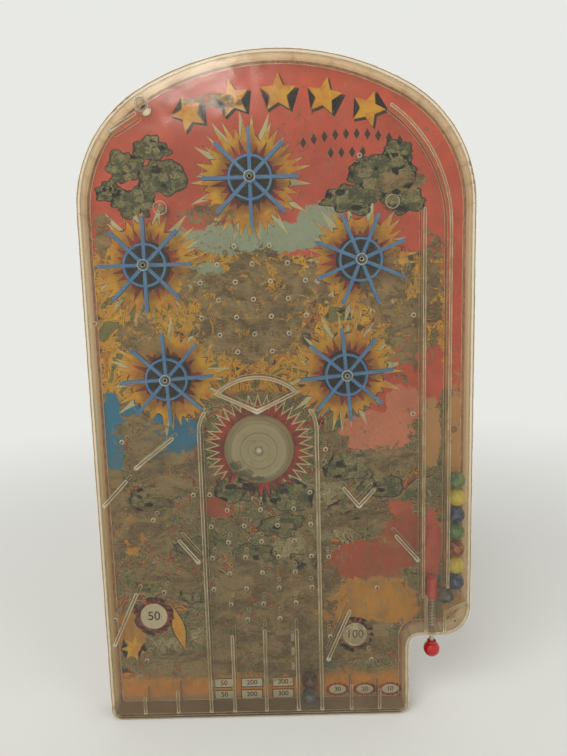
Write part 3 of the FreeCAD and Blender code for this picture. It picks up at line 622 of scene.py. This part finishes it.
def add_scores():
    frames = [box_outline(x, z, w, 4.0, 0.9) for _, x, z, w in LANE_BOXES]
    frames += [box_outline(4.2, z, 1.7, 4.0, 0.7) for z in (67.5, 53.3, 38.1)]
    ink_layer("score_frames", frames, 3, "outline")
    fields = [box_outline(x, z, w, 4.0) for _, x, z, w in LANE_BOXES]
    fields += [box_outline(4.2, z, 1.7, 4.0) for z in (67.5, 53.3, 38.1)]
    fields += [disc(x, z, 4.6, 1.75) for _, x, z in LANE_OVALS]
    fields += [disc(x, z, r) for _, x, z, r in ROUND_BADGES]
    ink_layer("score_fields", fields, 4, "white")
    ink_layer("oval_rings", [scallop(x, z, 11.5, 7.0, 14) for _, x, z in LANE_OVALS], 3, "deep_red")
    ink_layer("badge_rims", [star(x, z, r * 1.55, r * 1.12, 18) for _, x, z, r in ROUND_BADGES], 3, "deep_red")
    leaves = [radial(-103.0, 80.0, (27.0, 8.0, 6.0, 8.0, 24.0, 7.0, 5.0, 7.0), -14)]
    leaves.append(star(-146.0, 60.0, 13.0, 6.0, 7, 10))
    ink_layer("spark_outlines", [radial(-103.0, 80.0, (29.0, 9.5, 7.5, 9.5, 26.0, 8.5, 6.5, 8.5), -14)], 1, "outline")
    ink_layer("sparks", leaves, 2, "yellow")
    entries = [(words, x, z, 5.0) for words, x, z, _ in LANE_BOXES]
    entries += [(words, x, z, 4.6) for words, x, z in LANE_OVALS]
    entries += [(words, x, z, r * 0.72) for words, x, z, r in ROUND_BADGES]
    piece("score_numbers", text_mesh(entries, 5), INKS["text"], "root")


def see_through(net, amount, tint, milk_colour, rough=0.05, wave=None, lit_through=0.0):
    """Clear plastic over its own milky body. amount is how solid it looks, and lit_through is the share of the
    milk that light from behind reaches."""
    see = net.node("ShaderNodeBsdfTransparent", {"Color": tint}).outputs[0]
    milk = net.node("ShaderNodeBsdfDiffuse", {"Color": milk_colour}).outputs[0]
    if lit_through:
        through = net.node("ShaderNodeBsdfTranslucent", {"Color": milk_colour}).outputs[0]
        milk = net.node("ShaderNodeMixShader", {0: lit_through, 1: milk, 2: through}).outputs[0]
    body = net.node("ShaderNodeMixShader", {0: amount, 1: see, 2: milk}).outputs[0]
    gloss_inputs = {"Roughness": rough}
    share_inputs = {"IOR": 1.46}
    if wave:
        gloss_inputs["Normal"] = wave
        share_inputs["Normal"] = wave
    gloss = net.node("ShaderNodeBsdfAnisotropic", gloss_inputs).outputs[0]
    share = net.node("ShaderNodeFresnel", share_inputs).outputs[0]
    if not wave:
        back = net.node("ShaderNodeNewGeometry", {}).outputs["Backfacing"]
        share = net.math("MULTIPLY", share, net.math("SUBTRACT", 1.0, back))
    net.finish(net.node("ShaderNodeMixShader", {0: share, 1: body, 2: gloss}).outputs[0])


def blend_value(net, amount, a, b):
    return net.node("ShaderNodeMix", {0: amount, 2: a, 3: b}, data_type="FLOAT").outputs[0]


def marks(net, place):
    """Scratches and dust on the outside of the plastic, thicker in patches."""
    turned = net.node("ShaderNodeVectorRotate", {"Vector": place, "Axis": (0.0, 1.0, 0.0), "Angle": 0.7}).outputs[0]
    long_a = net.noise(net.vector("MULTIPLY", turned, (0.10, 0.4, 3.0)), 2.4, 1.5)
    long_b = net.noise(net.vector("MULTIPLY", place, (2.6, 0.4, 0.12)), 2.4, 1.5)
    scratches = net.step(net.math("MAXIMUM", long_a, long_b), 0.755, 0.80)
    dust = net.step(net.noise(place, 1.1, 0.0), 0.74, 0.77)
    patch = net.math("ADD", net.step(net.noise(place, 45.0, 3.0), 0.42, 0.68), 0.12)
    return net.math("MULTIPLY", net.math("MAXIMUM", scratches, dust), patch)


def rib_plastic(name, cap, side, milk_colour, tint=colour(255, 253, 245)):
    """Moulded ribs and pins: cap is how solid their flat ends look, and side how solid their long faces do."""
    made, net = new_material(name)
    place = net.place()
    flat = net.step(net.normal_y(), 0.6, 0.9)
    cloud = net.math("ADD", 0.8, net.math("MULTIPLY", net.noise(place, 8.0, 4.0), 0.4))
    amount = net.math("MULTIPLY", blend_value(net, flat, side, cap), cloud, True)
    see_through(net, amount, tint, milk_colour, 0.08, None, 0.5)
    return made


def cover_material():
    """The cover's front sheet is clear; its round front edge has painted shade, a dark line outside, and a painted
    highlight, a pale one inside.
    """
    made, net = new_material("cover_plastic")
    place = net.place()
    square = net.normal_y()
    sheet = net.step(square, 0.975, 0.995)
    outer = net.step(square, 0.92, 0.84)
    smear = net.step(net.noise(place, 38.0, 6.0, 0.62, 0.7), 0.46, 0.74)
    sheet_milk = net.math("ADD", 0.006, net.math("MULTIPLY", smear, 0.018))
    sheet_milk = net.math("ADD", sheet_milk, net.math("MULTIPLY", marks(net, place), 0.2), True)
    amount = blend_value(net, sheet, blend_value(net, outer, 0.72, 0.8), sheet_milk)
    # Painted shade: dark brown on the steep outer part of the round edge; painted highlight: pale on its part nearer
    # the front.
    edge_painted_shade_and_highlight = net.mix(outer, colour(208, 188, 154), colour(104, 74, 56))
    milk_colour = net.mix(sheet, edge_painted_shade_and_highlight, colour(214, 200, 166))
    clear = net.mix(sheet, colour(250, 240, 222), colour(255, 252, 244))
    wave = net.bump(net.noise(place, 55.0, 2.5, 0.5), 0.35, 5.0)
    see_through(net, amount, clear, milk_colour, 0.15, wave)
    return made


def wall_material():
    """The cover's side wall: beige and streaked, and browner towards its foot."""
    made, net = new_material("wall_plastic")
    place = net.place()
    height = net.dot(place, (0.0, 0.0, 1.0))
    left = net.step(net.dot(place, (1.0, 0.0, 0.0)), 60.0, -60.0)
    low = net.math("MULTIPLY", net.step(height, 420.0, 120.0), blend_value(net, left, 0.65, 1.0))
    beige = net.mix(low, colour(232, 210, 178), colour(172, 146, 98))
    along = net.noise(net.vector("MULTIPLY", place, (1.0, 4.0, 0.06)), 5.0, 3.0)
    beige = net.mix(net.math("MULTIPLY", net.step(along, 0.42, 0.62), 0.35), beige, colour(178, 148, 108))
    outer = net.outward(place, (0.0, 0.0, 280.0))
    lit_through = net.math("MULTIPLY", net.step(height, 3.0, 14.0), 0.8)
    see_through(net, blend_value(net, outer, 0.84, 0.06), colour(255, 250, 240), beige, 0.1, None, lit_through)
    return made


def painted_highlight_material(name, shade):
    """A painted highlight: the light that collects along moulded edges, as a pale frosted line."""
    made, net = new_material(name)
    place = net.place()
    fade = net.step(net.noise(place, 10.0, 3.0), 0.3, 0.6)
    shown = net.mix(fade, shade, colour(255, 248, 228))
    gloss = net.node("ShaderNodeBsdfAnisotropic", {"Color": shown, "Roughness": 0.4}).outputs[0]
    frost = net.node("ShaderNodeBsdfDiffuse", {"Color": shown}).outputs[0]
    body = net.node("ShaderNodeMixShader", {0: 0.55, 1: gloss, 2: frost}).outputs[0]
    see = net.node("ShaderNodeBsdfTransparent", {"Color": colour(255, 252, 242)}).outputs[0]
    solid = net.math("ADD", 0.7, net.math("MULTIPLY", fade, 0.3))
    net.finish(net.node("ShaderNodeMixShader", {0: solid, 1: see, 2: body}).outputs[0])
    return made


def end_loops(node, level):
    """The closed edges of the flat ends that a node has at one depth, as lists of points."""
    mesh = bmesh.new()
    mesh.from_mesh(nodes[node].data)
    bmesh.ops.remove_doubles(mesh, verts=mesh.verts, dist=0.002 * MM)
    flat = {f for f in mesh.faces
            if abs(f.normal.y) > 0.99 and abs(f.calc_center_median().y / MM - level) < 0.05}
    beside = {}
    for edge in {e for f in flat for e in f.edges}:
        if sum(f in flat for f in edge.link_faces) == 1:
            for a, b in (edge.verts, reversed(edge.verts)):
                beside.setdefault(a, []).append(b)
    loops = []
    left = sorted(beside, key=lambda v: v.index)
    seen = set()
    for first in left:
        if first in seen:
            continue
        loop = [first]
        seen.add(first)
        step = next((v for v in beside[first] if v not in seen), None)
        while step:
            loop.append(step)
            seen.add(step)
            step = next((v for v in beside[step] if v not in seen), None)
        if len(loop) > 2:
            loops.append([v.co.copy() for v in loop])
    mesh.free()
    return loops


def split_loop(loop, step):
    """A closed loop with more points, none further apart than step."""
    points = []
    for a, b in zip(loop, loop[1:] + loop[:1]):
        parts = max(1, math.ceil((b - a).length / (step * MM)))
        points += [a.lerp(b, i / parts) for i in range(parts)]
    return points


def flat_highlight_lines(name, level, lines, thick, material):
    """Thin flat painted highlight lines in the clear plastic, each as points with radii, pressed flat about one depth.
    """
    curve = bpy.data.curves.new(name, "CURVE")
    curve.dimensions = "3D"
    curve.bevel_depth = thick * MM
    curve.bevel_resolution = 1
    for loop, radii in lines:
        line = curve.splines.new("POLY")
        line.points.add(len(loop) - 1)
        line.use_cyclic_u = True
        for point, place, radius in zip(line.points, loop, radii):
            point.co = (*place, 1.0)
            point.radius = radius
    holder = bpy.data.objects.new(name, curve)
    bpy.context.scene.collection.objects.link(holder)
    bpy.context.view_layer.update()
    mesh = bpy.data.meshes.new_from_object(holder.evaluated_get(bpy.context.evaluated_depsgraph_get()))
    bpy.data.objects.remove(holder)
    bpy.data.curves.remove(curve)
    for vertex in mesh.vertices:
        vertex.co.y = (level + LINE_FLAT * (vertex.co.y / MM - level)) * MM
    piece(name, mesh, material, "root")


def edge_highlight_lines(name, ends, level, lift, thick, material, foot=0.0, inset=0.0, smallest=0.0):
    """Painted highlight lines along the flat ends that nodes have at one depth, lifted towards the front. foot is how
    much thicker a line is at its lowest point, a painted glint, inset moves a ring inwards, and a loop smaller across
    than smallest is left out."""
    lines = []
    for node in ends:
        for loop in end_loops(node, level):
            wide = max(place.x for place in loop) - min(place.x for place in loop)
            if wide < smallest * MM:
                continue
            if foot:
                loop = split_loop(loop, 1.5)
            if inset:
                centre = sum(loop, Vector()) / len(loop)
                loop = [centre + (place - centre) * (1.0 - 2 * inset * MM / wide) for place in loop]
            lowest = min(place.z for place in loop)
            # Painted glint: the line grows thicker towards its lowest point.
            radii = [1.0 + foot * max(0.0, 1.0 - (place.z - lowest) / (FOOT_GLOW * MM)) for place in loop]
            lines.append(([place - Vector((0.0, lift * MM, 0.0)) for place in loop], radii))
    flat_highlight_lines(name, level - lift, lines, thick, material)


def add_pin_side_highlights(level, material):
    """Painted highlights: the two long lights on the sides of each pin."""
    mesh = bmesh.new()
    length = (PRINT_FRONT - level) * MM
    for loop in end_loops("cover_pins", level):
        wide = max(place.x for place in loop) - min(place.x for place in loop)
        if wide < PIN_RING_SMALLEST * MM:
            continue
        centre = sum(loop, Vector()) / len(loop)
        for side in (-1, 1):
            spot = centre + Vector((side * 0.40 * wide, length / 2, 0.0))
            turned = Matrix.Translation(spot) @ Matrix.Rotation(math.pi / 2, 4, "X")
            bmesh.ops.create_cone(mesh, cap_ends=True, segments=6, radius1=0.16 * MM, radius2=0.30 * MM,
                                  depth=length - 0.2 * MM, matrix=turned)
    data = bpy.data.meshes.new("pin_side_highlights")
    mesh.to_mesh(data)
    mesh.free()
    piece("pin_side_highlights", data, material, "root")


def add_edge_highlight_lines():
    # Painted highlights: pale and white lines along the edges of the ribs, bars, wall, print, pins and posts, thicker
    # at the low ends of ribs and bars.
    pale = painted_highlight_material("edge_light", colour(240, 224, 188))
    white = painted_highlight_material("pin_light", colour(255, 250, 234))
    inner = cover_low.y + FRONT_T
    bright = ("cover_bars", "cover_eye")
    ribs = [n for n in RIBS if n not in bright]
    edge_highlight_lines("rib_front_highlights", ribs, inner, 0.5, 0.40, pale, 1.4)
    edge_highlight_lines("rib_back_highlights", ribs, PRINT_FRONT, 0.2, 0.24, pale)
    edge_highlight_lines("bar_front_highlights", bright, inner, 0.5, 0.48, white, 2.0)
    edge_highlight_lines("bar_back_highlights", bright, PRINT_FRONT, 0.2, 0.3, pale)
    edge_highlight_lines("wall_front_highlight", ["cover_side_wall"], inner, 0.5, 0.3, pale)
    edge_highlight_lines("print_edge_highlight", ["printed_sheet"], PRINT_FRONT, 0.1, 0.24, pale)
    edge_highlight_lines("pin_front_highlights", ["cover_pins"], inner, 0.5, 0.6, white, 0.0, 0.66, PIN_RING_SMALLEST)
    edge_highlight_lines("pin_back_highlights", ["cover_pins"], PRINT_FRONT, 0.2, 0.4, white, 0.0, 0.6, PIN_RING_SMALLEST)
    edge_highlight_lines("post_highlights", ["cover_posts", "cover_bosses"], inner, 0.5, 0.34, white)
    add_pin_side_highlights(inner, pale)


def moulded(name, base, worn, rough, coat=0.0, grain=0.03):
    """Solid coloured plastic, a little faded and scratched."""
    made, net = new_material(name)
    place = net.place()
    fade = net.step(net.noise(place, 12.0, 5.0, 0.6, 0.3), 0.4, 0.7)
    speck = net.step(net.noise(place, 0.9, 2.0), 0.66, 0.72)
    shown = net.mix(net.math("MULTIPLY", fade, 0.4), base, worn)
    shown = net.mix(net.math("MULTIPLY", speck, 0.3), shown, worn)
    normal = net.bump(net.noise(place, 0.7, 3.0), 0.3, grain)
    net.finish(principled(net, shown, Roughness=rough, Coat_Weight=coat, Normal=normal))
    return made


def metal(name, base, stain, rough, centre=None, stains=0.5, metallic=0.85):
    """Metal with stains, and turned rings and a painted highlight at the rim where a centre is given."""
    made, net = new_material(name)
    place = net.place()
    patch = net.step(net.noise(place, 11.0, 6.0, 0.65, 0.8), 0.48, 0.7)
    shown = net.mix(net.math("MULTIPLY", patch, stains), base, stain)
    height = net.noise(place, 1.2, 4.0)
    if centre:
        offset = net.vector("SUBTRACT", place, (centre[0], 0.0, centre[1]))
        offset = net.vector("MULTIPLY", offset, (1.0, 0.0, 1.0))
        reach = net.node("ShaderNodeVectorMath", {0: offset}, operation="LENGTH").outputs["Value"]
        along = net.node("ShaderNodeCombineXYZ", {0: reach, 1: 0.0, 2: 0.0}).outputs[0]
        rings = net.noise(along, 2.6, 4.0, 0.75)
        shown = net.mix(net.math("MULTIPLY", net.step(rings, 0.40, 0.62), 0.55), shown, colour(206, 198, 168))
        for radius in BELL_STEPS:
            off = net.math("ABSOLUTE", net.math("SUBTRACT", reach, radius))
            shown = net.mix(net.math("MULTIPLY", net.step(off, 0.8, 0.3), 0.35), shown, colour(92, 84, 62))
        height = net.math("ADD", rings, net.math("MULTIPLY", height, 0.4))
        stains_at = ((-21.0, -13.0, 6.0, 4.5), (-14.0, -20.0, 8.0, 4.0), (-3.0, -25.0, 8.0, 2.5))
        ovals = [(centre[0] + x, centre[1] + z, half_x, half_z) for x, z, half_x, half_z in stains_at]
        smudge = net.blobs(place, ovals, net.uneven(place, 3.5, 5.0, 6.0), 0.3)
        shown = net.mix(net.math("MULTIPLY", smudge, 0.7), shown, colour(58, 54, 44))
        # Painted highlight: a pale band just inside the bell's rim.
        rim_highlight = net.step(reach, BELL_R - 2.2, BELL_R - 1.0)
        shown = net.mix(net.math("MULTIPLY", rim_highlight, 0.6), shown, colour(214, 204, 172))
    normal = net.bump(height, 0.25, 0.08)
    net.finish(principled(net, shown, Roughness=rough, Metallic=metallic, Normal=normal))
    return made


def glass(name, base, swirl, clear=0.35):
    """A coloured glass marble with a swirl."""
    made, net = new_material(name)
    place = net.place()
    vein = net.step(net.noise(place, 6.0, 3.0, 0.6, 2.2), 0.46, 0.62)
    shown = net.mix(vein, base, swirl)
    body = principled(net, shown, Roughness=0.06, Transmission_Weight=clear, IOR=1.5, Coat_Weight=0.4)
    net.finish(body)
    return made


def fibre(name, base, dark, rough=0.85):
    """Pressed board: short fibres in two browns."""
    made, net = new_material(name)
    place = net.place()
    strands = net.noise(net.vector("MULTIPLY", place, (1.0, 1.0, 0.4)), 1.8, 5.0, 0.7, 0.5)
    shown = net.mix(net.step(strands, 0.35, 0.65), dark, base)
    normal = net.bump(strands, 0.5, 0.12)
    net.finish(principled(net, shown, Roughness=rough, Normal=normal))
    return made


RIBS = {
    "cover_bars": (0.34, 0.14), "cover_dividers": (0.50, 0.16), "cover_middle_walls": (0.56, 0.18),
    "cover_eye": (0.80, 0.34), "cover_shooter_wall": (0.56, 0.18), "cover_feed_wall": (0.50, 0.18),
    "cover_ramp": (0.62, 0.24),
}


def dress_all():
    dress("printed_sheet", SHEET)
    dress("playfield_board", fibre("fibreboard", colour(196, 150, 122), colour(150, 104, 82)))
    dress("base_pan", moulded("tan_plastic", colour(150, 108, 70), colour(176, 138, 98), 0.5, 0.1, 0.06))
    dress("clear_cover", cover_material())
    dress("cover_side_wall", wall_material())
    for name, (cap, side) in RIBS.items():
        dress(name, rib_plastic(name + "_plastic", cap, side, colour(246, 226, 186)))
    for name in ("cover_pins", "cover_posts", "cover_bosses"):
        dress(name, rib_plastic(name + "_plastic", 0.04, 0.16, colour(255, 246, 222)))
    dress("bell_gong", metal("bell_metal", colour(170, 162, 134), colour(126, 116, 90), 0.5, (BELL_X, BELL_Z), 0.4, 0.25))
    dress("bell_rivet", metal("rivet_metal", colour(206, 204, 192), colour(150, 144, 124), 0.35, None, 0.3, 0.5))
    dress("bell_spacer", metal("spacer_metal", colour(140, 134, 112), colour(90, 80, 60), 0.5))
    dress("cover_screws", metal("screw_steel", colour(150, 148, 142), colour(98, 84, 66), 0.4))
    dress("plunger_rod", metal("rod_steel", colour(190, 184, 168), colour(130, 118, 98), 0.3, None, 0.4, 0.6))
    dress("plunger_collar", metal("collar_steel", colour(160, 158, 150), colour(100, 90, 76), 0.35))
    dress("plunger_spring", metal("spring_steel", colour(226, 216, 190), colour(176, 160, 128), 0.3, None, 0.4, 0.4))
    dress("plunger_head", moulded("head_plastic", colour(216, 58, 50), colour(232, 120, 100), 0.35, 0.3))
    dress("plunger_knob", moulded("knob_plastic", colour(166, 10, 14), colour(178, 26, 24), 0.25, 0.3, 0.02))
    blue = moulded("spinner_plastic", colour(62, 138, 222), colour(112, 168, 214), 0.38, 0.1)
    for name in SPINNERS:
        dress(name, blue)
    shades = {
        "glass_clear": (colour(170, 176, 176), colour(120, 132, 140), 0.8),
        "glass_blue": (colour(40, 56, 120), colour(96, 120, 170), 0.2),
        "glass_yellow": (colour(238, 222, 66), colour(246, 236, 130), 0.1),
        "glass_red": (colour(160, 62, 44), colour(206, 150, 110), 0.2),
        "glass_green": (colour(92, 150, 92), colour(160, 190, 132), 0.3),
        "glass_grey": (colour(112, 124, 136), colour(150, 160, 166), 0.5),
        "glass_maroon": (colour(92, 28, 30), colour(130, 52, 46), 0.3),
    }
    made = {key: glass(key, *value) for key, value in shades.items()}
    for name, key in MARBLES.items():
        dress(name, made[key])


MARBLES = {
    "marble_outlet": "glass_clear", "marble_store_1": "glass_blue", "marble_store_2": "glass_yellow",
    "marble_store_3": "glass_red", "marble_store_4": "glass_green", "marble_store_5": "glass_blue",
    "marble_store_6": "glass_yellow", "marble_store_7": "glass_green", "marble_lane_1": "glass_grey",
    "marble_lane_2": "glass_maroon",
}


def soft_lamp(name, location, target, size, size_y, power, glossy):
    lamp = bpy.data.lights.new(name, "AREA")
    lamp.shape = "RECTANGLE"
    lamp.size = size
    lamp.size_y = size_y
    lamp.energy = power
    holder = bpy.data.objects.new(name, lamp)
    holder.location = location
    holder.rotation_euler = (Vector(target) - Vector(location)).to_track_quat("-Z", "Y").to_euler()
    holder.visible_glossy = glossy
    bpy.context.scene.collection.objects.link(holder)


WALL_SHADE = colour(232, 233, 229)


def seen_rays(net):
    """1 for the rays that show the background: the camera's, and those that metal and glass send out."""
    path = net.node("ShaderNodeLightPath", {}).outputs
    seen = net.math("MAXIMUM", path["Is Camera Ray"], path["Is Transmission Ray"])
    return net.math("MAXIMUM", seen, path["Is Glossy Ray"])


def add_stage():
    """A pale floor and a pale surround, with plain soft light."""
    floor = bpy.data.meshes.new("floor")
    reach = 6.0
    floor.from_pydata([(-reach, -reach, 0), (reach, -reach, 0), (reach, reach, 0), (-reach, reach, 0)], [], [(0, 1, 2, 3)])
    made, net = new_material("pale_floor")
    place = net.place()
    tone = net.mix(net.noise(place, 400.0, 3.0), colour(222, 222, 216), colour(230, 230, 225))
    near = principled(net, tone, Roughness=0.9, Specular_IOR_Level=0.1)
    far = net.node("ShaderNodeEmission", {"Color": WALL_SHADE, "Strength": 1.0}).outputs[0]
    reach = net.node("ShaderNodeVectorMath", {0: place}, operation="LENGTH").outputs["Value"]
    fade = net.math("MULTIPLY", net.step(reach, 300.0, 1500.0), seen_rays(net))
    net.finish(net.node("ShaderNodeMixShader", {0: fade, 1: near, 2: far}).outputs[0])
    floor.materials.append(made)
    holder = bpy.data.objects.new("floor", floor)
    bpy.context.scene.collection.objects.link(holder)
    world = bpy.data.worlds.new("pale_room")
    world.use_nodes = True
    net = Net(world.node_tree)
    seen = seen_rays(net)
    wall = net.node("ShaderNodeBackground", {"Color": WALL_SHADE, "Strength": 1.0}).outputs[0]
    light = net.node("ShaderNodeBackground", {"Color": (1.0, 0.99, 0.97, 1.0), "Strength": 0.62}).outputs[0]
    both = net.node("ShaderNodeMixShader", {0: seen, 1: light, 2: wall}).outputs[0]
    net.node("ShaderNodeOutputWorld", {"Surface": both})
    bpy.context.scene.world = world
    middle_point = (0.0, 0.0, 0.3)
    soft_lamp("key", (-0.9, -1.6, 1.9), middle_point, 1.4, 1.2, 26.0, False)
    soft_lamp("fill", (1.4, -1.2, 0.9), middle_point, 1.0, 1.2, 7.0, False)
    soft_lamp("window", (-0.20, -1.0, 0.90), (-0.05, 0.0, 0.56), 0.26, 0.06, 0.55, True)


# A look through the cover, a rib and a pin, and on to the light, passes this many clear faces
CLEAR_FACES = 32

# Camera, set where the photograph was taken from
CAMERA_PLACE = (0.0055, -0.535, 0.3885)
CAMERA_RIGHT = (0.99963, 0.00251, -0.02694)
CAMERA_UP = (0.02634, 0.13764, 0.99013)
CAMERA_FORWARD = (-0.0062, 0.99048, -0.13752)


def add_camera():
    lens = bpy.data.cameras.new("camera")
    lens.sensor_width = 36.0
    lens.sensor_fit = "AUTO"
    lens.lens = 29.29
    lens.clip_start = 0.01
    holder = bpy.data.objects.new("camera", lens)
    back = [-v for v in CAMERA_FORWARD]
    axes = Matrix((CAMERA_RIGHT, CAMERA_UP, back)).transposed().to_4x4()
    holder.matrix_world = Matrix.Translation(CAMERA_PLACE) @ axes
    bpy.context.scene.collection.objects.link(holder)
    bpy.context.scene.camera = holder


def follow_spring():
    """Gives the spring a mesh of its own."""
    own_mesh(nodes["plunger_spring"])


dress_all()
add_badges()
add_star_row()
add_clouds()
add_scores()
add_edge_highlight_lines()
follow_spring()
add_stage()
add_camera()
bpy.context.scene.view_settings.view_transform = "Standard"
bpy.context.scene.cycles.transparent_max_bounces = CLEAR_FACES
